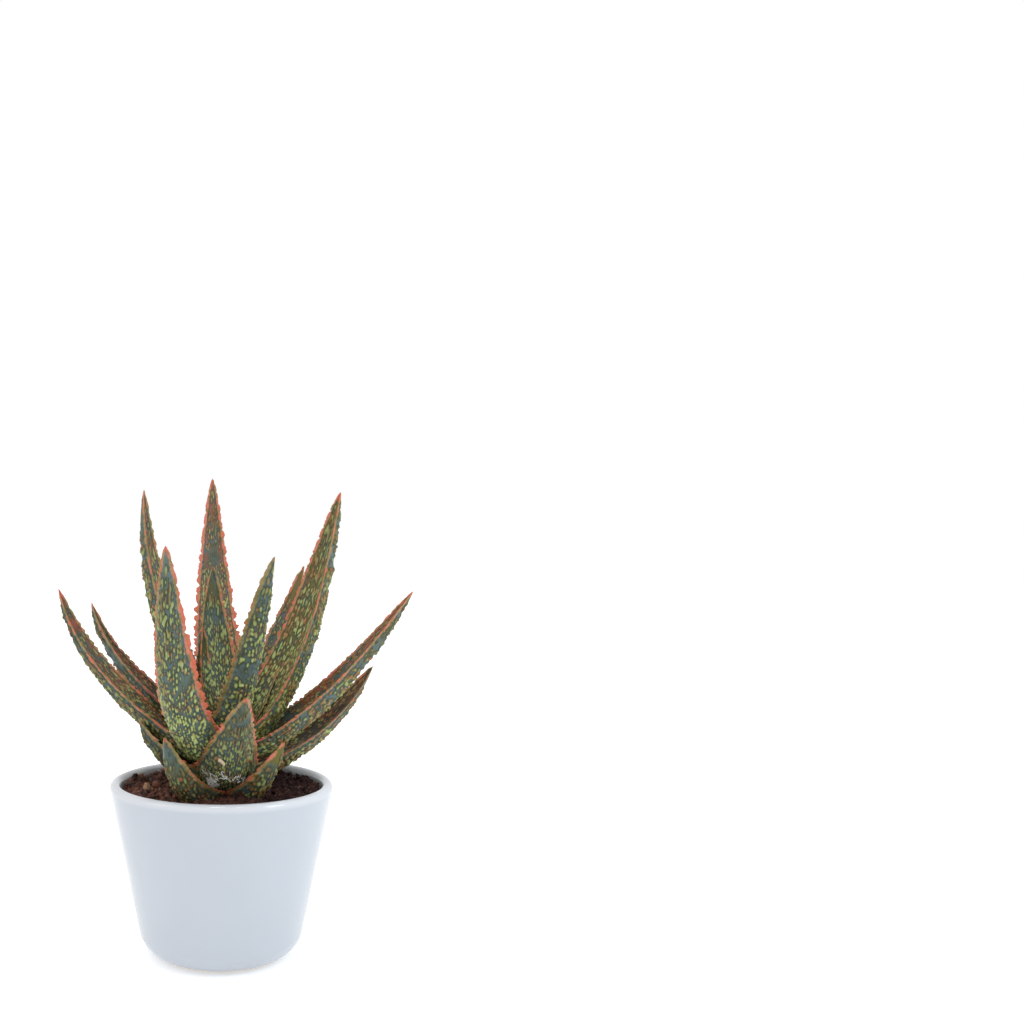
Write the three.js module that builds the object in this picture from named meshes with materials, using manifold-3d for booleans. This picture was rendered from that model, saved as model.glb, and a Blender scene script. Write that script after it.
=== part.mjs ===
// A potted hybrid aloe: a white glazed pot, potting soil, a short stem and its rosette of toothed leaves.
// Millimetres, +Z up. The origin is the centre of the pot's underside, and -Y is the front.
import * as THREE from "three";
import { mergeVertices } from "three/addons/utils/BufferGeometryUtils.js";
import Module from "manifold-3d";

const wasm = await Module();
wasm.setup();

const GAP = 0.4; // left between pieces that touch

// Pot
const POT_HEIGHT = 102.5;
const POT_RIM_RADIUS = 65;
const POT_BASE_RADIUS = 45.5; // where the slanting wall would meet the table
const POT_FOOT_ROUNDING = 18;
const POT_WALL = 6.6;
const POT_FLOOR = 7;
const POT_SIDES = 48;

// Soil
const SOIL_LEVEL = 97.5;
const SOIL_RINGS = 7;
const CLODS = 60;
const CLOD_SPREAD = 60; // radius over which the clods are scattered
const CLOD_SIZE = [3, 7];
const CLOD_HEIGHT = [-1.5, 3.5];

// Stem
const STEM_FOOT = 74;
const STEM_TOP = 136;
const STEM_RADIUS = 7.5;
const STEM_SIDES = 14;
const STEM_X = 2; // the plant stands a little to the right of the pot's middle

// What all leaves share
const ROOT_START = 5; // from the stem's axis to the hidden root end of a leaf
const TIP_LENGTH = 4; // of the plain point past the last station
const CELL = 10; // spacing of the stations along a leaf
const TEETH_PER_CELL = 2; // along each edge
const WARTS_PER_CELL = 1; // along each row on the back
const TOOTH = 1.9; // height of a full tooth
const WART = 0.8; // height of a full wart
const SIZE_SHARE = [0.5, 1.3]; // of the full height that a tooth or a wart may have
const TOOTHLESS = 14; // over this length from the axis the teeth and warts grow to full height
const CHANNEL = 0.3; // depth of the channel in the upper face, as a share of half the width
const TOOTH_LIFT = 0.6; // how much a tooth leans up for each millimetre that it stands out
const CLASP_LENGTH = 16; // over this length from the axis a leaf's edges wrap round the stem
const CLASP_RADIUS = 10;

// Each leaf, from the youngest to the oldest. seat is the height at which its middle line leaves the stem's
// axis. Angles are in degrees: turn is the side it grows to, anticlockwise from +X, rise is its slope above
// the horizon at the root, halfway and at the tip, sway is how far it swings round on its way out, and roll
// is how far its face turns on the way.
const LEAVES = {
  heart: { turn: 147, seat: 130, long: 66, wide: 15, thick: 5, rise: [45, 79, 93] },
  inner_left: { turn: 168, seat: 129, long: 56, wide: 18, thick: 5, rise: [54, 66, 84] },
  inner_back: { turn: 113, seat: 130, long: 100, wide: 27, thick: 6, rise: [65, 77, 97] },
  right_front: { turn: 303, seat: 127, long: 117, wide: 20, thick: 8, rise: [55, 69, 63] },
  back_tall: { turn: 98, seat: 125, long: 192, wide: 29, thick: 9, rise: [46, 53, 82], sway: -7 },
  left_front: { turn: 243, seat: 125, long: 168, wide: 29, thick: 8, rise: [-10, 56, 70], sway: 27 },
  right_tall: { turn: 28, seat: 120, long: 174, wide: 35, thick: 12, rise: [35, 67, 73], roll: 5 },
  left_tall: { turn: 164, seat: 121, long: 160, wide: 24, thick: 9, rise: [59, 70, 90], sway: -5, roll: -6 },
  right_back: { turn: 51, seat: 120, long: 133, wide: 24, thick: 9, rise: [37, 56, 62] },
  front_short: { turn: 271, seat: 103.5, long: 104, wide: 35, thick: 10, rise: [11, 38, 48], sway: 14 },
  right_outer: { turn: 9, seat: 115, long: 151, wide: 27, thick: 8, rise: [21, 43, 53], roll: 3 },
  left_outer: { turn: 179, seat: 108, long: 147, wide: 25, thick: 7, rise: [33, 44, 74], sway: -12, roll: -15 },
  left_back: { turn: 153, seat: 111, long: 130, wide: 21, thick: 8, rise: [46, 40, 75], sway: 10, roll: 4 },
  rear_left: { turn: 118, seat: 110, long: 104, wide: 25, thick: 8, rise: [24, 40, 58] },
  rear_right: { turn: 74, seat: 108, long: 94, wide: 25, thick: 8, rise: [14, 34, 56] },
  right_low: { turn: 18, seat: 106, long: 117, wide: 27, thick: 8, rise: [9, 32, 53], sway: 8, roll: 13 },
  left_low: { turn: 188, seat: 103, long: 63, wide: 21, thick: 8, rise: [8, 36, 60] },
  front_left_low: { turn: 240, seat: 96, long: 84, wide: 27, thick: 8.5, rise: [-11, 34, 71] },
  front_right_low: { turn: 290, seat: 95, long: 75, wide: 22, thick: 7, rise: [-12, 38, 61], sway: 32 },
  rear_low: { turn: 96, seat: 99, long: 60, wide: 26, thick: 8, rise: [4, 34, 64] },
};

const rad = THREE.MathUtils.degToRad;
const { sin, cos, tan } = Math;

// A repeatable stream of numbers from 0 to 1.
function stream(seed) {
  const modulus = 2 ** 31;
  let state = seed;
  return () => {
    state = (state * 1103515245 + 12345) % modulus;
    return state / modulus;
  };
}

function between([low, high], share) {
  return low + (high - low) * share;
}

// A closed mesh from its points and triangles.
function closedGeometry(position, index) {
  const geometry = new THREE.BufferGeometry();
  geometry.setAttribute("position", new THREE.Float32BufferAttribute(position, 3));
  geometry.setIndex(index);
  return geometry;
}

// A closed mesh as a solid that can be cut and joined.
function solid(geometry) {
  const bare = geometry.clone();
  bare.deleteAttribute("normal");
  bare.deleteAttribute("uv");
  const merged = mergeVertices(bare, 1e-4);
  return new wasm.Manifold(
    new wasm.Mesh({
      numProp: 3,
      vertProperties: merged.attributes.position.array,
      triVerts: new Uint32Array(merged.index.array),
    }),
  );
}

function cutAll(shape, cutters) {
  return cutters.reduce((rest, cutter) => rest.subtract(cutter), shape);
}

// A named mesh of a solid's largest body, without the loose scraps that a cut leaves.
function mesh(name, shape, material) {
  const largest = shape.decompose().reduce((best, body) => (body.volume() > best.volume() ? body : best));
  const { vertProperties, triVerts } = largest.getMesh();
  const geometry = closedGeometry(Array.from(vertProperties), Array.from(triVerts));
  geometry.computeVertexNormals();
  const made = new THREE.Mesh(geometry, material);
  made.name = name;
  return made;
}

// A solid turned about the vertical axis through x, from its profile of [radius, height] pairs.
function turned(profile, sides, x = 0) {
  const points = profile.map(([r, z]) => new THREE.Vector2(r, z));
  return solid(new THREE.LatheGeometry(points, sides).rotateX(Math.PI / 2).translate(x, 0, 0));
}

// Points along a circular arc of a profile, between two angles in degrees.
function arc(centreR, centreZ, radius, from, to, steps) {
  return Array.from({ length: steps + 1 }, (_, i) => {
    const angle = rad(between([from, to], i / steps));
    return [centreR + radius * cos(angle), centreZ + radius * sin(angle)];
  });
}

// The pot's wall leans out by a fixed angle. Its outer face has this radius at a height.
const WALL_ANGLE = THREE.MathUtils.radToDeg(Math.atan2(POT_HEIGHT, POT_RIM_RADIUS - POT_BASE_RADIUS));

function outerRadius(z) {
  return between([POT_BASE_RADIUS, POT_RIM_RADIUS], z / POT_HEIGHT);
}

// The inside of the pot from the top of its rounded floor to the axis, set in from the pot by clear.
function insideProfile(clear) {
  const rounding = POT_FOOT_ROUNDING - POT_WALL;
  const wallFoot = outerRadius(POT_FLOOR) - POT_WALL / sin(rad(WALL_ANGLE)) - clear;
  const centre = wallFoot - rounding * tan(rad(WALL_ANGLE / 2));
  const floor = POT_FLOOR + clear;
  return [...arc(centre, floor + rounding, rounding, WALL_ANGLE - 90, -90, 3), [0, floor]];
}

function potProfile() {
  const lip = POT_WALL / 2;
  const footCentre = POT_BASE_RADIUS - POT_FOOT_ROUNDING * tan(rad(WALL_ANGLE / 2));
  return [
    [0, 0],
    ...arc(footCentre, POT_FOOT_ROUNDING, POT_FOOT_ROUNDING, -90, WALL_ANGLE - 90, 5),
    ...arc(POT_RIM_RADIUS - lip, POT_HEIGHT - lip, lip, WALL_ANGLE - 90, WALL_ANGLE + 90, 5),
    ...insideProfile(0),
  ];
}

// What would fill the pot and stand above it, a gap clear of the wall.
function fillProfile() {
  const top = POT_HEIGHT + 10;
  const wall = outerRadius(top) - POT_WALL / sin(rad(WALL_ANGLE)) - GAP;
  return [...insideProfile(GAP).reverse(), [wall, top], [0, top]];
}

function stemProfile(clear) {
  return [
    [0, STEM_FOOT - clear],
    [STEM_RADIUS * 0.5 + clear, STEM_FOOT + 2 - clear],
    [STEM_RADIUS + clear, STEM_FOOT + 16],
    [STEM_RADIUS + clear, SOIL_LEVEL + 4],
    [STEM_RADIUS * 0.85 + clear, STEM_TOP - 12],
    [STEM_RADIUS * 0.5 + clear, STEM_TOP - 2],
    [0, STEM_TOP + clear],
  ];
}

const clods = (() => {
  const next = stream(41);
  return Array.from({ length: CLODS }, () => {
    const angle = 2 * Math.PI * next();
    const reach = CLOD_SPREAD * Math.sqrt(next());
    const size = between(CLOD_SIZE, next());
    return { x: reach * cos(angle), y: reach * sin(angle), size, height: between(CLOD_HEIGHT, next()) };
  });
})();

// The soil's surface: level, with rounded clods scattered over it.
function soilHeight(x, y) {
  const lumps = clods.map((c) => c.height * Math.exp(-((x - c.x) ** 2 + (y - c.y) ** 2) / c.size ** 2));
  return SOIL_LEVEL + lumps.reduce((sum, lump) => sum + lump);
}

// A round block wider than the pot, whose top is the soil's surface.
function ground() {
  const position = [0, 0, soilHeight(0, 0)];
  const index = [];
  const at = (ring, side) => 1 + (ring - 1) * POT_SIDES + (side % POT_SIDES);
  for (let ring = 1; ring <= SOIL_RINGS + 1; ring++) {
    const r = ((POT_RIM_RADIUS + 5) * Math.min(ring, SOIL_RINGS)) / SOIL_RINGS;
    for (let side = 0; side < POT_SIDES; side++) {
      const angle = (2 * Math.PI * side) / POT_SIDES;
      const [x, y] = [r * cos(angle), r * sin(angle)];
      position.push(x, y, ring > SOIL_RINGS ? 0 : soilHeight(x, y));
      if (ring === 1) {
        index.push(0, at(1, side), at(1, side + 1));
      } else {
        const [inner, outer] = [at(ring - 1, side), at(ring, side)];
        const [nextInner, nextOuter] = [at(ring - 1, side + 1), at(ring, side + 1)];
        index.push(inner, outer, nextOuter, inner, nextOuter, nextInner);
      }
    }
  }
  const underside = position.push(0, 0, 0) / 3 - 1;
  for (let side = 0; side < POT_SIDES; side++) {
    index.push(underside, at(SOIL_RINGS + 1, side + 1), at(SOIL_RINGS + 1, side));
  }
  return solid(closedGeometry(position, index));
}

// A leaf's middle line and its frame, at share x of the way to the tip. The slope is the parabola through
// its three values, the line swings round evenly, and it is added up from short steps.
function leafLine({ turn, seat, long, rise, sway = 0, roll = 0 }) {
  const steps = 200;
  const [root, half, tip] = rise;
  const slopeAt = (x) => rad(root * (1 - x) * (1 - 2 * x) + half * 4 * x * (1 - x) + tip * x * (2 * x - 1));
  const turnAt = (x) => rad(turn + sway * x);
  const headingAt = (x) => {
    const [slope, way] = [slopeAt(x), turnAt(x)];
    return new THREE.Vector3(cos(slope) * cos(way), cos(slope) * sin(way), sin(slope));
  };
  const points = [new THREE.Vector3(STEM_X, 0, seat)];
  for (let i = 0; i < steps; i++) {
    points.push(points[i].clone().addScaledVector(headingAt((i + 0.5) / steps), long / steps));
  }
  return (x) => {
    const low = Math.min(steps - 1, Math.floor(x * steps));
    const middle = points[low].clone().lerp(points[low + 1], x * steps - low);
    const way = turnAt(x);
    const inward = new THREE.Vector3(-cos(way), -sin(way), 0);
    const across = new THREE.Vector3(-sin(way), cos(way), 0);
    const up = headingAt(x).cross(across);
    const tilt = rad(roll * x);
    const side = across.clone().multiplyScalar(cos(tilt)).addScaledVector(up, sin(tilt));
    const face = up.clone().multiplyScalar(cos(tilt)).addScaledVector(across, -sin(tilt));
    return { middle, side, face, inward };
  };
}

// The point of a leaf's skin at share x along it and t across it, from -1 to 1. The upper face is a shallow
// channel, the back bulges out from edge to edge, and near the root both clasp the stem. out is the height
// of a tooth or wart there. clear moves every side out, the sharp edges by more, so that what the skin cuts
// clears its faces there too.
function skinPoint(leaf, line, x, t, part, out, clear) {
  const { middle, side, face, inward } = line(x);
  const half = (leaf.wide / 2) * (1 - x ** 1.6) ** 0.85;
  const thick = leaf.thick * (1 - x ** 2) ** 0.7;
  const reach = part === "edge" ? out + 4 * clear : 0;
  const across = t * half + Math.sign(t) * reach;
  const channel = CHANNEL * half * t ** 2 + TOOTH_LIFT * reach + (part === "face" ? clear : 0);
  const bulge = part === "back" ? (thick + out) * (1 - Math.abs(t) ** 2.2) + clear : 0;
  const clasp = Math.exp(-(((x * leaf.long) / CLASP_LENGTH) ** 2)) / (2 * CLASP_RADIUS);
  return middle
    .clone()
    .addScaledVector(side, across)
    .addScaledVector(face, channel - bulge)
    .addScaledVector(inward, across ** 2 * clasp);
}

// The closed skin of a leaf, from columns of points that run from root to tip. The edges and two rows on the
// back have more stations than the other columns, and every second one there is a tooth or a wart, as high
// as the next share says. With no shares, the skin is plain and a gap larger than the leaf with its biggest
// teeth, to cut what lies against it.
function leafSkin(leaf, nextShare) {
  const line = leafLine(leaf);
  const clear = nextShare ? 0 : GAP + 0.1;
  const cells = Math.max(5, Math.round(leaf.long / CELL));
  const first = (ROOT_START - 2 * clear) / leaf.long;
  const last = 1 - TIP_LENGTH / leaf.long;
  const position = [];
  const index = [];
  const add = (point) => position.push(point.x, point.y, point.z) / 3 - 1;
  const column = (t, part, perCell, height) => {
    const stations = cells * Math.max(1, 2 * perCell);
    return Array.from({ length: stations + 1 }, (_, i) => {
      const x = between([first, last], i / stations);
      const full = height * Math.min(1, (x * leaf.long) / TOOTHLESS) * (1 - x) ** 0.4;
      const share = nextShare ? (i % 2) * between(SIZE_SHARE, nextShare()) : SIZE_SHARE[1];
      return add(skinPoint(leaf, line, x, t, part, full * share, clear));
    });
  };
  const columns = [
    column(-1, "edge", TEETH_PER_CELL, TOOTH),
    column(-0.5, "face", 0, 0),
    column(0.5, "face", 0, 0),
    column(1, "edge", TEETH_PER_CELL, TOOTH),
    column(0.5, "back", WARTS_PER_CELL, WART),
    column(0, "back", 0, 0),
    column(-0.5, "back", WARTS_PER_CELL, WART),
  ];
  const tip = add(line(1).middle);
  columns.forEach((a, c) => {
    const b = columns[(c + 1) % columns.length];
    let i = 0;
    let j = 0;
    while (i < a.length - 1 || j < b.length - 1) {
      if ((i + 1) * (b.length - 1) <= (j + 1) * (a.length - 1)) {
        index.push(b[j], a[i], a[++i]);
      } else {
        index.push(b[j], a[i], b[++j]);
      }
    }
    index.push(b[j], a[i], tip);
  });
  const [edgeA, faceA, faceB, edgeB, backB, ridge, backA] = columns.map((stations) => stations[0]);
  index.push(edgeA, faceA, backA, faceA, ridge, backA, faceA, faceB, ridge);
  index.push(faceB, backB, ridge, faceB, edgeB, backB);
  return solid(closedGeometry(position, index));
}

const glaze = new THREE.MeshStandardMaterial({ color: 0xdfe3ea, roughness: 0.15, metalness: 0 });
const earth = new THREE.MeshStandardMaterial({ color: 0x3b2119, roughness: 1, metalness: 0 });
const stalk = new THREE.MeshStandardMaterial({ color: 0x6f7d3c, roughness: 0.7, metalness: 0 });
const foliage = new THREE.MeshStandardMaterial({ color: 0x55674f, roughness: 0.55, metalness: 0 });

const plant = new THREE.Group();
plant.add(mesh("pot", turned(potProfile(), POT_SIDES), glaze));
plant.add(mesh("stem", turned(stemProfile(0), STEM_SIDES, STEM_X), stalk));

// Each leaf is trimmed by the stem and by the younger leaves that it clasps, and the soil by all of them.
const cutters = [turned(stemProfile(GAP), STEM_SIDES, STEM_X)];
Object.entries(LEAVES).forEach(([name, leaf], i) => {
  plant.add(mesh(`leaf_${name}`, cutAll(leafSkin(leaf, stream(100 + 7 * i)), cutters), foliage));
  cutters.push(leafSkin(leaf));
});
const bed = turned(fillProfile(), POT_SIDES).intersect(ground());
plant.add(mesh("soil", cutAll(bed, cutters), earth));

export default plant;
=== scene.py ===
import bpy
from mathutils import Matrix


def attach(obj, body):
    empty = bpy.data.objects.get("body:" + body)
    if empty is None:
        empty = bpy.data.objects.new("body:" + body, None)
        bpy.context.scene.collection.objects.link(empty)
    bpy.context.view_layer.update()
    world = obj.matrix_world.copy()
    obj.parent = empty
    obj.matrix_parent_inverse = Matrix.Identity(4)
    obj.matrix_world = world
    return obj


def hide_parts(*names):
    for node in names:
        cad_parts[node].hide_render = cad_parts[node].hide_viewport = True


bl_info = {
    "name": "Potted aloe",
    "version": (1, 0, 0),
    "blender": (4, 5, 0),
    "location": "3D View > Sidebar > Aloe",
    "description": "Dresses a potted aloe: toothed and spotted leaves, soil with crumbs, and a glazed pot",
    "category": "Add Mesh",
}

from typing import NamedTuple

import bpy
import numpy as np
from mathutils import Matrix

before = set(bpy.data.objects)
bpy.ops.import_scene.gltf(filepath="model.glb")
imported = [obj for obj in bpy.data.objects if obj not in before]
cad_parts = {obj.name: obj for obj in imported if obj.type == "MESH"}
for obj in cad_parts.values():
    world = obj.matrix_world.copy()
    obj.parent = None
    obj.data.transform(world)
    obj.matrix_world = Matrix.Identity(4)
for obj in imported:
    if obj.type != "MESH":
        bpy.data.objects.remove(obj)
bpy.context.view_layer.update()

# All lengths are in metres, as in the solids

# Pot
POT_HEIGHT = 0.1025
POT_RIM_RADIUS = 0.065
POT_BASE_RADIUS = 0.0455  # where the slanting wall would meet the table
POT_FOOT_ROUNDING = 0.018
POT_WALL = 0.0066
POT_FLOOR = 0.007
POT_SIDES = 192
WALL_ANGLE = np.degrees(np.arctan2(POT_HEIGHT, POT_RIM_RADIUS - POT_BASE_RADIUS))
LEVEL_WALL = POT_WALL / np.sin(np.radians(WALL_ANGLE))  # its thickness measured level

# Soil
SOIL_LEVEL = 0.0975
SOIL_GAP = 0.0004  # between the soil and the wall of the pot
SOIL_SIDES = 400
SOIL_RINGS = 90
SOIL_HIDDEN_RADIUS = 0.014  # inside it the plant hides the soil
SOIL_HIDDEN_RINGS = 5
SOIL_WALL_RINGS = 4
SOIL_FIRST_RING = 0.002  # radius of the innermost ring
SOIL_SINK = 0.006  # from its level down to the first ring on the pot's wall
SOIL_CORNER = (0.012, 0.016)  # cut off at its foot, for the rounded corner inside the pot: across, up
CRUMB_RING = (0.02, 0.0562)  # the crumbs lie between these radii
CRUMB_SIZE = (0.00035, 0.0012)  # the smallest, and how much larger the largest are
CRUMB_RISE = 0.3  # from the surface to a crumb's middle, as a share of its size
CRUMB_STRETCH = (0.6, 1.35)
CRUMB_ROUGH = (0.72, 1.12)  # the least and the greatest radius of a ball with radius 1 and a rough skin
LUMPS = 44  # large crumbs, heaped at the back left
LUMP_RING = (0.036, 0.0535)
LUMP_SIZE = (0.0016, 0.0034)
LUMP_SIDE = (2.42, 0.42)  # middle and spread of the heap, in radians anticlockwise from +X
FIBRES = 170
FIBRE_RING = (0.022, 0.054)
FIBRE_STEP = (0.0004, 0.0009)
FIBRE_RADIUS = (0.00008, 0.00017)
FIBRE_TAPER = (0.6, 1, 1, 1, 1, 1, 0.9, 0.7, 0.4)
FIBRE_BEND = 0.28  # spread of its turns from step to step, in radians
FIBRE_LIFT = (0.0003, 0.0009)  # above the soil, and how much higher its end may stand
SHADED_SIDE = (-0.01, 0.03)  # painted shade on the soil begins at the first x and is full from the second
CLODS = 60
CLOD_SPREAD = 0.06
CLOD_SIZE = (0.003, 0.007)
CLOD_HEIGHT = (-0.0015, 0.0035)
SOIL_CRUMBLE = ((0.0058, 0.0013, 3), (0.0029, 0.001, 5), (0.0014, 0.0006, 9))  # spacing, height and seed

# Stem
STEM_FOOT = 0.074
STEM_TOP = 0.136
STEM_RADIUS = 0.0075
STEM_X = 0.002
STEM_SIDES = 64

# What all leaves share
ROOT_START = 0.005  # from the stem's axis to the hidden root end of a leaf
TIP_STOP = 0.0004
STATION = 0.00078  # spacing of the rings along a leaf
COLUMN = 0.00048  # spacing of the points across it
EDGE_COLUMNS = 5  # points round each margin
EDGE = 0.0008  # thickness of the margin
COURSE_STEPS = 200
CHANNEL = 0.3  # depth of the channel in the upper face, as a share of half the width
TOOTH_PITCH = 0.0008  # spacing of the teeth, if they had no height
TOOTH_PITCH_GROWTH = 2.3  # and how much wider it is for each metre of their height
SERRATION_PITCH = 0.0024
SERRATION = 0.00045  # height of the serration beside teeth of no height
SERRATION_GROWTH = 0.35  # and how much it grows for each metre of theirs
SERRATION_MOST = 0.0009
TOOTH_LIFT = 0.6  # how much a tooth leans up for each metre that it stands out
TOOTHLESS = 0.014  # over this length from the axis the teeth grow to full height
CLASP_LENGTH = 0.016  # over this length from the axis a leaf's edges wrap round the stem
CLASP_RADIUS = 0.01
SPOT_ROW = 0.0013  # spacing of the rows of spots
SPOT_STEP = 0.0019  # spacing of the spots in a row, near the root
SPOT_STRETCH = 1.3  # by this share it is greater at the tip
SPOT_OUTLINE = 0.37  # height of the humps at the outline of a spot
SPOTLESS = 0.0012  # along the margin the spots fade over about this width
SPOT_BAND = (0.0042, 0.03)  # spacing of the cross bands of spots, and over what width one keeps its place
SPOT_RELIEF = (0.6, 1.4)  # height of the spots on the upper face and on the back, as shares of spot_height
WART = 0.0007  # height of the warts on the back
WART_SPACING = (0.0014, 0.0012)  # along and across
RIB = 0.00008  # height of the ribs on which the rows of spots stand
SWELL = 0.00035  # height of the slow unevenness
SWELL_SPACING = (0.009, 0.006)
EVEN_WIDTH = 0.003  # the skin is smoother where the leaf is narrower than twice this, and along its margins
EVEN_TIP = 0.006  # and over this length from its tip
BLOTCH_REACH = (0.0062, 0.0025)  # how far in from the margin blotches end, and how far they are full
SHADED_ROOT = (0.042, 0.018)  # from the axis to where the painted shade on the upper face near the root ends, and to where it is full
BACK_SHIFT = 0.05  # of the rows of spots on the back against those on the upper face


class Leaf(NamedTuple):
    """One leaf, in the words of its solid: turn is the side that it grows to, anticlockwise from +X, seat the
    height where its middle line leaves the stem's axis, and rise its slope above the horizon at the root,
    halfway and at the tip, with angles in degrees. teeth and blush are the height of the teeth and how coral
    they are on its clockwise and its anticlockwise margin. ripe is how far its spots have turned from lime to
    coral, coarse how many times as large they are as on most leaves and bare how many more are missing.
    blotch is how much coral lies inside its margins, green and brown how much of either its upper face has in
    place of slate, olive the same for both sides, and painted_shade how much painted shade darkens it all
    over."""

    turn: float
    seat: float
    long: float
    wide: float
    thick: float
    rise: tuple
    sway: float = 0
    roll: float = 0
    teeth: tuple = (0.0019, 0.0019)
    blush: tuple = (0.7, 0.7)
    ripe: float = 0
    coarse: float = 1
    blotch: float = 0
    green: float = 0.3
    brown: float = 0.2
    olive: float = 0
    bare: float = 0
    painted_shade: float = 0


LEAVES = {
    "heart": Leaf(
        147, 0.13, 0.066, 0.015, 0.005, (45, 79, 93),
        teeth=(0.0005, 0.0005), blush=(1, 1), ripe=-0.2, green=1.1, olive=0.7, bare=0.6, painted_shade=0.25,
    ),
    "inner_left": Leaf(
        168, 0.129, 0.056, 0.018, 0.005, (54, 66, 84),
        teeth=(0.0010, 0.0008), blush=(0.3, 0.3), ripe=-0.2, green=1, olive=0.8,
    ),
    "inner_back": Leaf(
        113, 0.13, 0.1, 0.027, 0.006, (65, 77, 97),
        teeth=(0.0013, 0.0009), ripe=0.05, olive=0.2, painted_shade=0.15,
    ),
    "right_front": Leaf(
        303, 0.127, 0.117, 0.02, 0.008, (55, 69, 63),
        teeth=(0.0018, 0.0009), blush=(0.4, 0.3), olive=0.2,
    ),
    "back_tall": Leaf(
        98, 0.125, 0.192, 0.029, 0.009, (46, 53, 82), sway=-7,
        teeth=(0.0026, 0.0028), blush=(1, 1), ripe=0.22, blotch=0.5, painted_shade=0.1,
    ),
    "left_front": Leaf(
        243, 0.125, 0.168, 0.029, 0.008, (-10, 56, 70), sway=27,
        teeth=(0.0016, 0.0027), blush=(0.8, 1),
    ),
    "right_tall": Leaf(
        28, 0.12, 0.174, 0.035, 0.012, (35, 67, 73), roll=5, teeth=(0.0011, 0.0019), blush=(0.8, 0.9),
        ripe=0.15, coarse=1.3, blotch=0.2, green=0.8, olive=0.9, bare=-0.35,
    ),
    "left_tall": Leaf(
        164, 0.121, 0.16, 0.024, 0.009, (59, 70, 90), sway=-5, roll=-6,
        teeth=(0.0016, 0.0011), blush=(0.5, 0.7), ripe=0.25, blotch=0.4,
    ),
    "right_back": Leaf(
        51, 0.12, 0.133, 0.024, 0.009, (37, 56, 62),
        teeth=(0.0013, 0.0019), blush=(0.5, 0.9), ripe=0.2, blotch=0.15, olive=0.9,
    ),
    "front_short": Leaf(
        271, 0.1035, 0.104, 0.035, 0.01, (11, 38, 48), sway=14,
        teeth=(0.0015, 0.0017), blush=(0.8, 0.8), ripe=0.25, olive=0.4, painted_shade=0.3,
    ),
    "right_outer": Leaf(
        9, 0.115, 0.151, 0.027, 0.008, (21, 43, 53), roll=3,
        teeth=(0.0011, 0.0017), blush=(0.8, 0.9), ripe=0.55, blotch=1, olive=0.4, painted_shade=0.1,
    ),
    "left_outer": Leaf(
        179, 0.108, 0.147, 0.025, 0.007, (33, 44, 74), sway=-12, roll=-15,
        teeth=(0.0016, 0.0012), blush=(0.8, 0.7), ripe=0.35, blotch=0.9, brown=0.5, painted_shade=0.25,
    ),
    "left_back": Leaf(
        153, 0.111, 0.13, 0.021, 0.008, (46, 40, 75), sway=10, roll=4,
        teeth=(0.0018, 0.0013), blush=(0.8, 0.7), ripe=0.5, blotch=0.6, brown=1, painted_shade=0.2,
    ),
    "rear_left": Leaf(118, 0.11, 0.104, 0.025, 0.008, (24, 40, 58)),
    "rear_right": Leaf(74, 0.108, 0.094, 0.025, 0.008, (14, 34, 56), brown=0.4),
    "right_low": Leaf(
        18, 0.106, 0.117, 0.027, 0.008, (9, 32, 53), sway=8, roll=13,
        teeth=(0.0012, 0.0015), blush=(0.5, 0.7), ripe=0.5, blotch=0.4, brown=1,
    ),
    "left_low": Leaf(188, 0.103, 0.063, 0.021, 0.008, (8, 36, 60), ripe=0.3, brown=0.6, olive=0.4, painted_shade=0.15),
    "front_left_low": Leaf(
        240, 0.096, 0.084, 0.027, 0.0085, (-11, 34, 71),
        teeth=(0.0012, 0.0014), ripe=0.6, brown=0.5, olive=0.5, painted_shade=0.2,
    ),
    "front_right_low": Leaf(
        290, 0.095, 0.075, 0.022, 0.007, (-12, 38, 61), sway=32,
        teeth=(0.0014, 0.0012), ripe=0.4, brown=0.5, olive=1, painted_shade=0.15,
    ),
    "rear_low": Leaf(96, 0.099, 0.06, 0.026, 0.008, (4, 34, 64), brown=0.5),
}

# Dry residue on the back of the front leaf
THREADS = 190
THREAD_STEPS = 16
THREAD_STEP = (0.00012, 0.00032)  # the shortest, and how much longer the longest are
THREAD_RADIUS = (0.00006, 0.00015)
THREAD_BEND = 0.35  # spread of its turns from step to step, in radians
THREAD_LIFT = (0.0006, 0.0013)  # off the leaf, and how much further its middle may stand
THREAD_SPREAD = (0.0013, 0.045)  # round its trail, along the leaf and as a share of half its width
TUFT_DRAWS = 11  # of this many threads about one starts on each piece of the trail, the rest on its last
FLAKE_PLACE = (0.0555, -0.55)  # along the leaf, and as a share of half its width
FLAKE_REACH = (0.0019, 0.14)  # half its size, in the same terms
FLAKE_WAVE = 0.0004
FLAKE_CURL = 0.0007  # how much further its two ends stand off the leaf
FLAKE_SIDES = 24
FLAKE_RINGS = ((0.55, 0.0004), (1.0, 0.0004), (1.0, 0.0008), (0.55, 0.0008))  # size, and lift off the leaf

# Pieces of the threads' trail, each from one length along the leaf and share across it to another
THREAD_TRAIL = (
    (0.0365, -0.82, 0.031, -0.6),
    (0.031, -0.6, 0.0455, -0.32),
    (0.0455, -0.32, 0.0435, 0.2),
    (0.0435, 0.2, 0.033, 0.5),
    (0.033, 0.5, 0.026, 0.62),
    (0.033, -0.63, 0.021, -0.5),
)

# Camera: its place in metres, its turn about x, y and z in degrees, and its lens in millimetres
CAMERA_PLACE = (0.00258, -0.64017, 0.24041)
CAMERA_TURN = (83.931, -0.453, -2.204)
CAMERA_SHIFT = (0.236, 0.146)
CAMERA_LENS = 39.154
CAMERA_SENSOR = 36.0

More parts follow.
